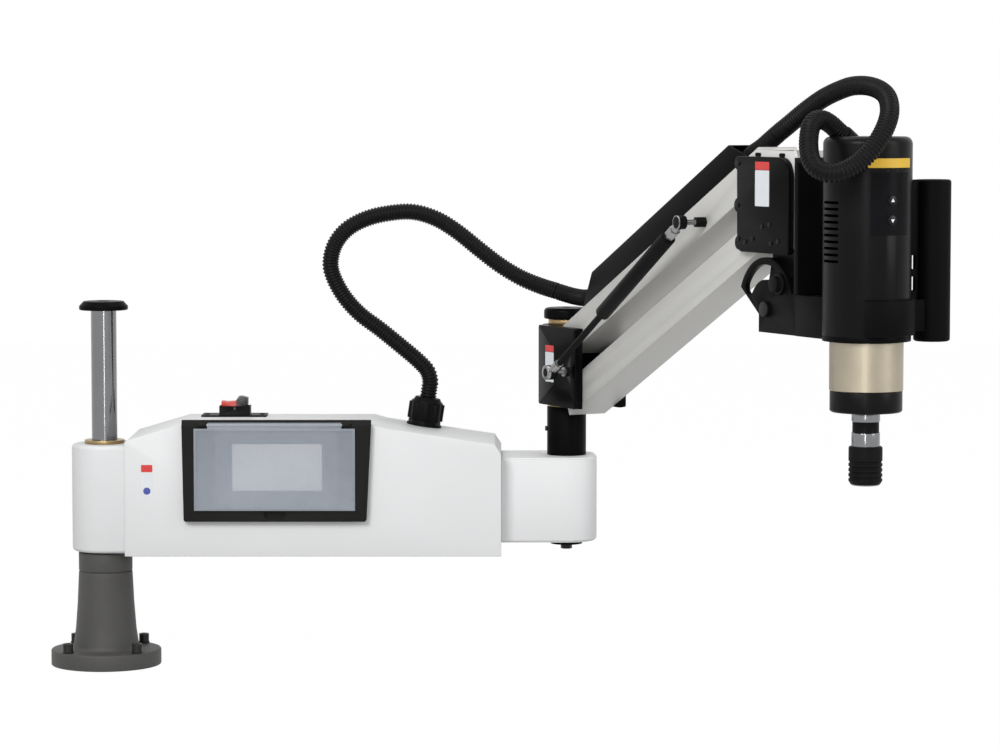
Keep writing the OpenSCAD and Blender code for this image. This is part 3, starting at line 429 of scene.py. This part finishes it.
# finish, and rounding of the edges in millimetres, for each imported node
DRESS = {
    "base_casting": ("casting_grey", 0.8), "base_screws": ("screw_black", 0.5),
    "support_collar": ("casting_grey", 0.4), "main_column": ("chrome", 0),
    "column_cap": ("black_satin", 0.5), "arm_frame": ("white_casting", 1.2),
    "arm_box": ("white_box", 0.9), "rear_panel": ("white_box", 0.3),
    "column_bushes": ("bronze", 0.4), "screen_frame": ("frame_black", 0.5),
    "cover_hinge_pin": ("steel", 0), "hmi_panel": ("bezel", 0.6),
    "hmi_screen": ("display", 0), "screen_cover": ("lid", 0.4),
    "switch_housing": ("black_moulded", 0.8), "power_rocker": ("rocker", 0.7),
    "gland_base": ("black_moulded", 0.5), "gland_nut": ("black_moulded", 0.6),
    "servo_driver": ("driver", 0.3), "post_shaft": ("chrome", 0.4),
    "post_sleeve": ("black_satin", 0.5), "post_bolt": ("screw_black", 0.3),
    "post_disc": ("black_satin", 0.5), "post_cap": ("black_satin", 0.4),
    "yoke_block": ("black_satin", 0.8), "yoke_covers": ("black_gloss", 0.8),
    "yoke_bushes": ("bronze", 0.4), "yoke_pins": ("steel", 0.4),
    "gas_stud_lower": ("steel", 0.2), "upper_beam": ("beam", 0.8),
    "conduit_cover": ("black_satin", 0.5), "gas_stud_upper": ("spring_stud", 0.2),
    "lower_beam": ("beam", 0.8), "gas_cylinder": ("spring_tube", 0.7),
    "gas_rod": ("spring_rod", 0.4),
    "head_frame": ("black_satin", 0.8), "head_side_plates": ("side_plate", 0.3),
    "head_covers": ("black_gloss", 1.0), "head_pins": ("steel", 0.3),
    "tilt_clamp_bolt": ("black_moulded", 0.6), "tilt_pin": ("screw_black", 0.5),
    "tilt_fork": ("black_satin", 0.6), "motor_cover": ("motor_black", 0.3),
    "servo_motor": ("black_satin", 0.5), "motor_rotor": ("steel", 0.4),
    "reduction_gearbox": ("champagne", 0), "output_ring": ("motor_black", 0.3),
    "hand_grip": ("black_matt", 0), "grip_bracket": ("black_matt", 0.5),
    "button_switches": ("driver", 0.2), "motor_gland": ("black_moulded", 0.4),
    "spindle": ("chrome_with_groove_shade", 0.3), "button_up": ("panel_film", 0.3),
    "button_down": ("panel_film", 0.3),
}


def body_of_node(node):
    groups = frame["record"]["behaviour"]["bodies"]
    return next(body for body, nodes in groups.items() if node in nodes)


def dress(node, finish, rounding):
    """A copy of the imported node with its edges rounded, which stands for it."""
    bm = bmesh.new()
    bm.from_mesh(frame["nodes"][node].data)
    bmesh.ops.remove_doubles(bm, verts=bm.verts, dist=2e-6)
    bmesh.ops.dissolve_limit(bm, angle_limit=radians(0.4), verts=bm.verts, edges=bm.edges)
    if rounding:
        sharp = [e for e in bm.edges
                 if len(e.link_faces) == 2 and e.calc_face_angle() > radians(32)]
        bmesh.ops.bevel(bm, geom=sharp, offset=rounding * 0.001, segments=2, profile=0.5,
                        affect="EDGES", clamp_overlap=True, material=-1)
    bmesh.ops.triangulate(bm, faces=[f for f in bm.faces if len(f.verts) > 4])
    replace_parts(add(node + "_finished", bm, finish, body_of_node(node)), node)


# ---- corrugated conduits ----
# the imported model's routes; the first is in the machine's frame, the rest in the second arm's
LOWER_ROUTE = [
    (405.4, 40, 334), (407, 40, 345), (408, 40, 355), (404, 40, 368), (392, 40, 381),
    (372, 40, 398), (345, 40, 420), (320, 39, 439), (301, 37, 460), (288, 34, 483),
    (283, 32, 503), (288, 29, 526), (302, 26, 545), (323, 24, 558), (350, 21, 566),
    (385, 18, 569), (415, 15, 561), (442, 11, 545), (471, 7, 522), (496, 4, 503),
    (522, 0, 487.5), (546.5, -8, 477.5), (568, -20, 471.4)]
LOWER_END_ROUTE = [
    (13.8, -19.3, 470.9), (31.5, -8.2, 466), (50, -2, 464.5), (68, 0, 467), (85, 0, 472),
    (99, 0, 476.8), (112.7, 0, 483.5), (126.1, 0, 490.1)]
UPPER_START_ROUTE = [
    (432.8, 0, 639.7), (451, 0, 648.6), (470, 0, 656), (488, 0, 664.5), (504, 0, 672)]
UPPER_ROUTE = [
    (505.2, 0, 672.6), (522, 1, 680.6), (541, 5, 692), (560, 8, 702), (583, 10, 711.5),
    (610, 11, 719), (640, 10, 724), (672, 9, 724), (700, 7, 719), (722, 2, 710),
    (739, -7, 695), (748, -19, 678), (750, -33, 660), (747, -48, 645), (741, -63, 635),
    (732, -76, 632), (721, -84, 636), (711, -86.5, 645), (702, -84, 657), (694, -79, 670),
    (687, -72, 681), (681, -62, 687), (676, -50, 687.5), (673.5, -39, 683),
    (672.2, -30.1, 676.7), (671, -22.2, 671.2)]


# one rib from groove to groove: share of the pitch, and radius in millimetres
GROOVE_R = 9.3
RIB = [(0, GROOVE_R), (0.18, 9.35), (0.34, 10.45), (0.5, CONDUIT_R), (0.66, 10.45), (0.82, 9.35)]
BORE_R = 6.8
SIDES = 20
ROUTE_STEPS = 16
RIB_STEPS = 50


def smooth_route(points, place):
    """Close points on a Catmull-Rom curve through the route, in metres."""
    p = [place @ mm(*q) for q in points]
    p = [p[0]] + p + [p[-1]]
    curve = []
    for a, b, c, d in zip(p, p[1:], p[2:], p[3:]):
        for k in range(ROUTE_STEPS):
            t = k / ROUTE_STEPS
            curve.append(0.5 * (2 * b + (c - a) * t + (2 * a - 5 * b + 4 * c - d) * t * t
                                + (3 * b - 3 * c + d - a) * t ** 3))
    return curve + [p[-1]]


def at_lengths(curve, count):
    """Evenly spaced places along a curve, and its length."""
    run = [0.0]
    for a, b in zip(curve, curve[1:]):
        run.append(run[-1] + (b - a).length)
    places, i = [], 0
    for k in range(count + 1):
        s = run[-1] * k / count
        while i < len(run) - 2 and run[i + 1] < s:
            i += 1
        places.append(curve[i].lerp(curve[i + 1], (s - run[i]) / max(run[i + 1] - run[i], 1e-9)))
    return places, run[-1]


def conduit(name, node, points, place):
    """Ribbed hose along a curved route between two bodies: piece, path and length."""
    curve = smooth_route(points, place)
    length = at_lengths(curve, 1)[1]
    ribs = round(length / (CONDUIT_PITCH * 0.001))
    steps = ribs * RIB_STEPS
    fine = at_lengths(curve, steps)[0]
    bm = bmesh.new()
    ring = bmesh.ops.create_circle(bm, segments=SIDES, radius=1)["verts"]
    side = Vector((0.3, 1, 0.2))

    def put(verts, index, radius):
        nonlocal side
        low = max(index - RIB_STEPS // 2, 0)
        high = min(index + RIB_STEPS // 2, steps)
        along = (fine[high] - fine[low]).normalized()
        side = (side - side.dot(along) * along).normalized()
        across = along.cross(side)
        for k, vert in enumerate(verts):
            a = 2 * pi * k / SIDES
            vert.co = fine[index] + radius * 0.001 * (side * cos(a) + across * sin(a))

    stations = [(round((r + share) * RIB_STEPS), radius)
                for r in range(ribs) for share, radius in RIB]
    stations.append((steps, GROOVE_R))
    put(ring, *stations[0])
    edges = list(bm.edges)
    for index, radius in stations[1:]:
        grown = bmesh.ops.extrude_edge_only(bm, edges=edges)["geom"]
        verts = [g for g in grown if isinstance(g, bmesh.types.BMVert)]
        edges = [g for g in grown if isinstance(g, bmesh.types.BMEdge) and
                 g.verts[0] in set(verts) and g.verts[1] in set(verts)]
        put(verts, index, radius)
    # a lip turns in at each mouth, and a face closes it
    for index in (0, steps):
        rim = [e for e in bm.edges
               if e.is_boundary and (e.verts[0].co - fine[index]).length < 0.012]
        grown = bmesh.ops.extrude_edge_only(bm, edges=rim)["geom"]
        for vert in (g for g in grown if isinstance(g, bmesh.types.BMVert)):
            vert.co = fine[index] + (vert.co - fine[index]) * (BORE_R / GROOVE_R)
        bmesh.ops.holes_fill(bm, edges=[g for g in grown if isinstance(g, bmesh.types.BMEdge)
                                        and g.is_boundary])
    piece = add(name, bm, "conduit", None, smooth=70)
    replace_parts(piece, node)
    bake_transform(piece)
    return piece, fine[::10], length


def make_conduits():
    lower_end = conduit("lower_conduit_end", "conduit_lower_end", LOWER_END_ROUTE, ARM)
    upper_start = conduit("upper_conduit_start", "conduit_upper_start", UPPER_START_ROUTE, ARM)
    conduit("lower_conduit", "conduit_lower", LOWER_ROUTE, WORLD)
    conduit("upper_conduit", "conduit_upper", UPPER_ROUTE, ARM)


make_conduits()
for node_name, (finish_name, edge_radius) in DRESS.items():
    dress(node_name, finish_name, edge_radius)


# ---- small details ----
def facing(x, y, z, normal, place=WORLD):
    """A place whose third axis points along normal, for things that stand on a face."""
    turn = Vector(normal).to_track_quat("Z", "Y").to_matrix().to_4x4()
    return place @ Matrix.Translation(mm(x, y, z)) @ turn


def screw_heads(name, radius, height, socket_r, body, spots, dome=0.0):
    """Round screw heads with a socket, at a list of places."""
    whole = bmesh.new()
    for spot in spots:
        bm = bmesh.new()
        bmesh.ops.create_cone(bm, segments=32, radius1=radius, radius2=radius, depth=height,
                              cap_ends=True, matrix=Matrix.Translation((0, 0, height / 2)))
        top = [f for f in bm.faces if f.normal.z > 0.9]
        bmesh.ops.bevel(bm, geom=[e for f in top for e in f.edges],
                        offset=min(0.5, height * 0.4) + dome,
                        segments=3, profile=0.5, affect="EDGES", material=-1)
        top = [f for f in bm.faces if f.normal.z > 0.99]
        bmesh.ops.inset_region(bm, faces=top, thickness=max(radius - dome - socket_r - 0.3, 0.1))
        top = [f for f in bm.faces
               if f.normal.z > 0.99 and f.calc_center_median().xy.length < 0.05]
        bmesh.ops.inset_region(bm, faces=top, thickness=0.12, depth=-height * 0.6)
        bmesh.ops.transform(bm, matrix=spot @ Matrix.Scale(0.001, 4), verts=bm.verts)
        mesh = bpy.data.meshes.new("part")
        bm.to_mesh(mesh)
        bm.free()
        whole.from_mesh(mesh)
        bpy.data.meshes.remove(mesh)
    add(name, whole, "screw_black", body)


def film(name, x, y, z, width, height, finish, body, place=WORLD, corner=1.0):
    """A thin film on an upright face, with rounded corners: print, or a black sheet as painted
    shade.
    """
    bm = bmesh.new()
    bmesh.ops.create_grid(bm, x_segments=1, y_segments=1, size=0.5)
    bmesh.ops.transform(bm, matrix=Matrix.Diagonal((width, height, 1, 1)), verts=bm.verts)
    bmesh.ops.bevel(bm, geom=list(bm.verts), offset=corner, segments=4, profile=0.5,
                    affect="VERTICES", material=-1)
    bmesh.ops.solidify(bm, geom=list(bm.faces), thickness=-0.15)
    add(name, bm, finish, body, place=facing(x, y, z, (0, -1, 0), place))


def wrapped(name, angle, z0, z1, finish, body):
    """A film round the motor cover, by its spread in degrees each way from the front."""
    radius = MOTOR_R + 0.15
    bm = bmesh.new()
    bottom = bm.verts.new((radius, 0, z0))
    top = bm.verts.new((radius, 0, z1))
    edge = bm.edges.new((bottom, top))
    bmesh.ops.rotate(bm, verts=bm.verts, cent=(0, 0, 0),
                     matrix=Matrix.Rotation(radians(-angle), 3, "Z"))
    bmesh.ops.spin(bm, geom=[bottom, top, edge], cent=(0, 0, 0), axis=(0, 0, 1),
                   angle=radians(2 * angle), steps=24)
    bmesh.ops.solidify(bm, geom=list(bm.faces), thickness=0.15)
    add(name, bm, finish, body, place=HEAD)


def button_panel(name, angle, z0, z1, holes):
    """A glossy film round the front of the motor cover, with a hole at each button."""
    radius = MOTOR_R + 0.12
    bm = bmesh.new()
    bmesh.ops.create_grid(bm, x_segments=44, y_segments=60, size=0.5)
    width = 2 * radians(angle) * radius
    bmesh.ops.transform(bm, matrix=Matrix.Translation((0, (z0 + z1) / 2, 0))
                        @ Matrix.Diagonal((width, z1 - z0, 1, 1)), verts=bm.verts)
    under = [f for f in bm.faces if any(
        (f.calc_center_median() - Vector((0, z, 0))).length < BUTTON_HOLE_R for z in holes)]
    bmesh.ops.delete(bm, geom=under, context="FACES")
    for vert in bm.verts:
        turn = vert.co.x / radius
        vert.co = (radius * cos(turn), radius * sin(turn), vert.co.y)
    bmesh.ops.solidify(bm, geom=list(bm.faces), thickness=0.12)
    add(name, bm, "panel_film", "tilt_head", place=HEAD)


def arrow_mark(name, z, up, body):
    """A pale ring round a triangle that points up or down, on a button's face."""
    bm = bmesh.new()
    bmesh.ops.create_circle(bm, segments=40, radius=4.6, cap_ends=True)
    bmesh.ops.inset_region(bm, faces=list(bm.faces), thickness=0.5)
    middle = min(bm.faces, key=lambda f: f.calc_center_median().length)
    bmesh.ops.delete(bm, geom=[middle], context="FACES")
    bmesh.ops.create_circle(bm, segments=3, radius=2.6, cap_ends=True,
                            matrix=Matrix.Rotation(radians(0 if up else 180), 4, "Z"))
    bmesh.ops.solidify(bm, geom=list(bm.faces), thickness=-0.1)
    place = (HEAD @ Matrix.Translation(mm(BUTTON_FACE, 0, z))
             @ Matrix.Rotation(pi / 2, 4, "Y") @ Matrix.Rotation(pi / 2, 4, "Z"))
    add(name, bm, "print_pale", body, place=place)


def chuck_sleeve():
    """The quick-change chuck's ringed sleeve, turned, with its bright nose ring."""
    section = [(13.6, 335.5), (17.2, 335.5), (18.2, 334.6), (18.4, 333.5), (18.4, 320)]
    for z in (318.6, 313, 307.4, 301.8):
        section += [(18.4, z + 1.4), (17.3, z + 0.4), (17.3, z - 0.8), (18.4, z - 1.8)]
    section += [(18.4, 298.2), (16.2, 294.6), (14.6, 293.2), (14.0, 293.0), (13.6, 293.0)]
    bm = bmesh.new()
    verts = [bm.verts.new((r, 0, z)) for r, z in section]
    edges = [bm.edges.new(pair) for pair in zip(verts, verts[1:] + verts[:1])]
    bmesh.ops.spin(bm, geom=verts + edges, cent=(0, 0, 0), axis=(0, 0, 1), angle=2 * pi,
                   steps=96, use_merge=True)
    sleeve = add("chuck_sleeve", bm, "chuck_black", "collar",
                 place=HEAD, smooth=28)
    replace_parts(sleeve, "chuck_collar")


def make_details():
    chuck_sleeve()
    head_screws = [(476, 638), (475, 591), (477, 553), (492, 550), (508, 554), (547, 550),
                   (562, 553), (528, 568), (544, 571)]
    screw_heads("head_cover_screws", 2.6, 1.6, 1.3, "head",
                [facing(x, HEAD_COVER_Y, z, (0, -1, 0), ARM) for x, z in head_screws]
                + [facing(x, -HEAD_COVER_Y, z, (0, 1, 0), ARM) for x, z in head_screws],
                dome=0.4)
    screw_heads("switch_screws", 3.2, 1.5, 1.5, "first_arm",
                [facing(x, 50, SWITCH_PLATE_TOP, (0, 0, 1)) for x in (125, 195)],
                dome=0.5)
    screw_heads("bezel_screws", 2.4, 0.8, 1.2, "first_arm",
                [facing(x, SCREEN_FRAME_FRONT, z, (0, -1, 0)) for x in (131, 308)
                 for z in (216, 297)], dome=0.2)
    screw_heads("sleeve_screw", 3.0, 2.6, 1.5, "first_arm",
                [facing(REACH - SLEEVE_R, 0, 298, (-1, 0, 0))])
    # bare label places, as plain patches of colour
    film("box_patch_red", 60, BOX_FRONT, 255, 14, 9, "print_red", "first_arm")
    film("box_patch_white", 60, BOX_FRONT, 235, 14, 30, "print_white", "first_arm")
    film("box_patch_blue", 60, BOX_FRONT - 0.15, 227, 9, 9, "print_blue", "first_arm",
         corner=4.4)
    film("yoke_patch_red", 22, YOKE_COVER_Y, 401, 22, 8, "print_red", "yoke", ARM)
    film("yoke_patch_white", 22, YOKE_COVER_Y, 378, 22, 37, "print_white", "yoke",
         ARM)
    film("head_patch_red", 528, HEAD_COVER_Y, 636, 30, 9, "print_red", "head", ARM)
    film("head_patch_white", 528, HEAD_COVER_Y, 611, 30, 40, "print_white", "head",
         ARM)
    # black films as painted shade where the side plates have slots
    for name, x in (("side_plate_slot_shade_rear", 507), ("side_plate_slot_shade_front", 558)):
        film(name, x, SIDE_PLATE_Y, 648, 13, 4.5, "black_matt", "head", ARM,
             corner=2.2)
    wrapped("motor_patch_yellow", 35, 637, 647, "print_yellow", "tilt_head")
    button_panel("button_panel", 29, 565, 632, (DOWN_BUTTON_Z, UP_BUTTON_Z))
    arrow_mark("up_arrow", UP_BUTTON_Z, True, "up_button")
    arrow_mark("down_arrow", DOWN_BUTTON_Z, False, "down_button")


make_details()


# ---- floor, world and lights ----
def make_floor():
    bm = bmesh.new()
    bmesh.ops.create_grid(bm, x_segments=1, y_segments=1, size=6000)
    mesh = bpy.data.meshes.new("floor")
    bmesh.ops.transform(bm, matrix=Matrix.Scale(0.001, 4), verts=bm.verts)
    bm.to_mesh(mesh)
    bm.free()
    floor = bpy.data.objects.new("floor", mesh)
    floor.location.z = -0.0005
    bpy.context.scene.collection.objects.link(floor)
    f = Finish("floor_white", (0.45, 0.45, 0.45), 0.9)
    glow = f.tree.nodes.new("ShaderNodeEmission")
    glow.inputs["Color"].default_value = (1, 1, 1, 1)
    # the part that keeps the shadow is darker than white, which this makes up
    glow.inputs["Strength"].default_value = FLOOR_GLOW
    mixed = f.tree.nodes.new("ShaderNodeMixShader")
    shown = f.node("LightPath", {}, {}, out="Is Camera Ray")
    for kind in ("Is Glossy Ray", "Is Transmission Ray"):
        shown = shown.maximum(f.node("LightPath", {}, {}, out=kind))
    f.tree.links.new((shown * FLOOR_SHOWN).socket, mixed.inputs[0])
    f.tree.links.new(f.shader.outputs[0], mixed.inputs[1])
    f.tree.links.new(glow.outputs[0], mixed.inputs[2])
    f.tree.links.new(mixed.outputs[0], f.tree.nodes["Material Output"].inputs[0])
    mesh.materials.append(f.material)


def make_world():
    """White where it is seen, mirrored or seen through, and dimmer as light."""
    world = bpy.data.worlds.new("studio")
    bpy.context.scene.world = world
    world.use_nodes = True
    tree = world.node_tree
    tree.nodes.clear()
    f = Finish.__new__(Finish)
    f.tree = tree
    rays = tree.nodes.new("ShaderNodeLightPath")
    shown = Value(f, rays.outputs["Is Camera Ray"])
    for kind in ("Is Glossy Ray", "Is Transmission Ray"):
        shown = shown.maximum(Value(f, rays.outputs[kind]))
    strength = shown.maximum(PLAIN_LIGHT)
    back = f.node("Background", {}, {"Color": (1, 1, 1, 1), "Strength": strength})
    out = tree.nodes.new("ShaderNodeOutputWorld")
    tree.links.new(back.socket, out.inputs[0])


def lamp(name, where, target, size, power):
    data = bpy.data.lights.new(name, "AREA")
    data.shape = "RECTANGLE"
    data.size, data.size_y = size
    data.energy = power
    light = bpy.data.objects.new(name, data)
    light.location = mm(*where)
    light.rotation_euler = (mm(*target) - mm(*where)).to_track_quat("-Z", "Y").to_euler()
    bpy.context.scene.collection.objects.link(light)


make_floor()
make_world()
lamp("key", (-900, -3200, 2300), (450, 0, 350), (1.4, 1.4), 88)
lamp("fill", (2700, -1500, 1500), (600, -200, 400), (0.8, 1.8), 26)
lamp("strip", (450, -3300, 750), (450, 0, 450), (0.16, 2.4), 16)
lamp("top", (500, 200, 3000), (500, -100, 300), (2.4, 1.6), 18)

bpy.context.scene.view_settings.view_transform = "Standard"
